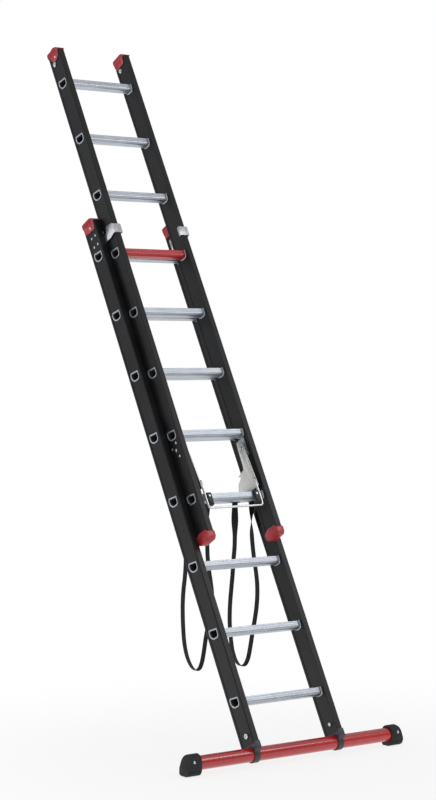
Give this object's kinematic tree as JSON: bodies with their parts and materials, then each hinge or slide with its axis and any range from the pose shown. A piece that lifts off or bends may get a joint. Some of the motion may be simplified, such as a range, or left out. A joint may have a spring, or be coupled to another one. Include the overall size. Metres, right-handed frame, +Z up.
{
  "type": "extension ladder",
  "caption": "Two-section aluminium extension ladder with hollow D-rungs, swinging latch hooks, guide brackets and a wide stabiliser bar, standing at its working lean.",
  "frame": {"origin": "on the floor, midway between the feet and straight below the axis of the stabiliser bar", "axes": "+X to the climber's right along the bar, +Y away from the climber towards the wall, +Z up; the ladder leans 28.3 degrees towards +Y"},
  "size_m": [0.94, 1.348, 2.5617],
  "materials": {
    "stile_black": "satin black coated aluminium extrusion",
    "rung_aluminium": "mill-finish aluminium extrusion",
    "rung_red": "red coated aluminium",
    "cap_red": "red moulded plastic",
    "bracket_steel": "zinc plated steel sheet",
    "fastener": "bright zinc plated steel",
    "plastic_black": "black moulded plastic",
    "collar_grey": "dark grey moulded plastic",
    "bar_red": "red powder-coated steel tube",
    "foot_rubber": "black rubber",
    "webbing": "black woven webbing with red marks",
    "hook_steel": "matt zinc plated steel sheet",
    "rod_steel": "bright steel rod"
  },
  "bodies": {
    "base": {"base_stile_left": "stile_black", "base_stile_right": "stile_black", "base_cap_left": "cap_red", "base_cap_right": "cap_red", "base_cap_screws": "fastener", "guide_bracket_left": "bracket_steel", "guide_bracket_right": "bracket_steel", "bracket_rivets": "fastener", "end_plug_left": "plastic_black", "end_plug_right": "plastic_black", "end_bolts": "fastener", "collar_left": "collar_grey", "collar_right": "collar_grey", "stabiliser_bar": "bar_red", "foot_left": "foot_rubber", "foot_right": "foot_rubber", "foot_screws": "fastener", "strap_sleeves": "webbing", "strap_left": "webbing", "strap_right": "webbing", "base_rung_1": "rung_aluminium", "base_rung_2": "rung_aluminium", "base_rung_3": "rung_aluminium", "base_rung_4": "rung_aluminium", "base_rung_5": "rung_aluminium", "base_rung_6": "rung_aluminium", "base_rung_7": "rung_aluminium", "base_rung_8": "rung_aluminium"},
    "fly": {"fly_stile_left": "stile_black", "fly_stile_right": "stile_black", "fly_cap_left": "cap_red", "fly_cap_right": "cap_red", "fly_cap_screws": "fastener", "hinge_bolts": "fastener", "fly_foot_left": "cap_red", "fly_foot_right": "cap_red", "latch_block_left": "plastic_black", "latch_block_right": "plastic_black", "block_rivets": "fastener", "hook_bearing_left": "bracket_steel", "hook_bearing_right": "bracket_steel", "bearing_rivets": "fastener", "fly_rung_1": "rung_aluminium", "fly_rung_2": "rung_aluminium", "fly_rung_3": "rung_aluminium", "fly_rung_4": "rung_aluminium", "fly_rung_5": "rung_red", "fly_rung_6": "rung_aluminium", "fly_rung_7": "rung_aluminium", "fly_rung_8": "rung_aluminium"},
    "hooks": {"hook_left": "hook_steel", "hook_right": "hook_steel", "release_rod": "rod_steel"}
  },
  "joints": [
    {"name": "fly_slide", "type": "slide", "parent": "base", "child": "fly", "axis": [0, 0.4741, 0.8805], "range_m": [-0.75, 0.75]},
    {"name": "hook_release", "type": "hinge", "parent": "fly", "child": "hooks", "pos_m": [0, 0.46834, 1.04396], "axis": [-1, 0, 0], "range_deg": [0, 24]}
  ]
}
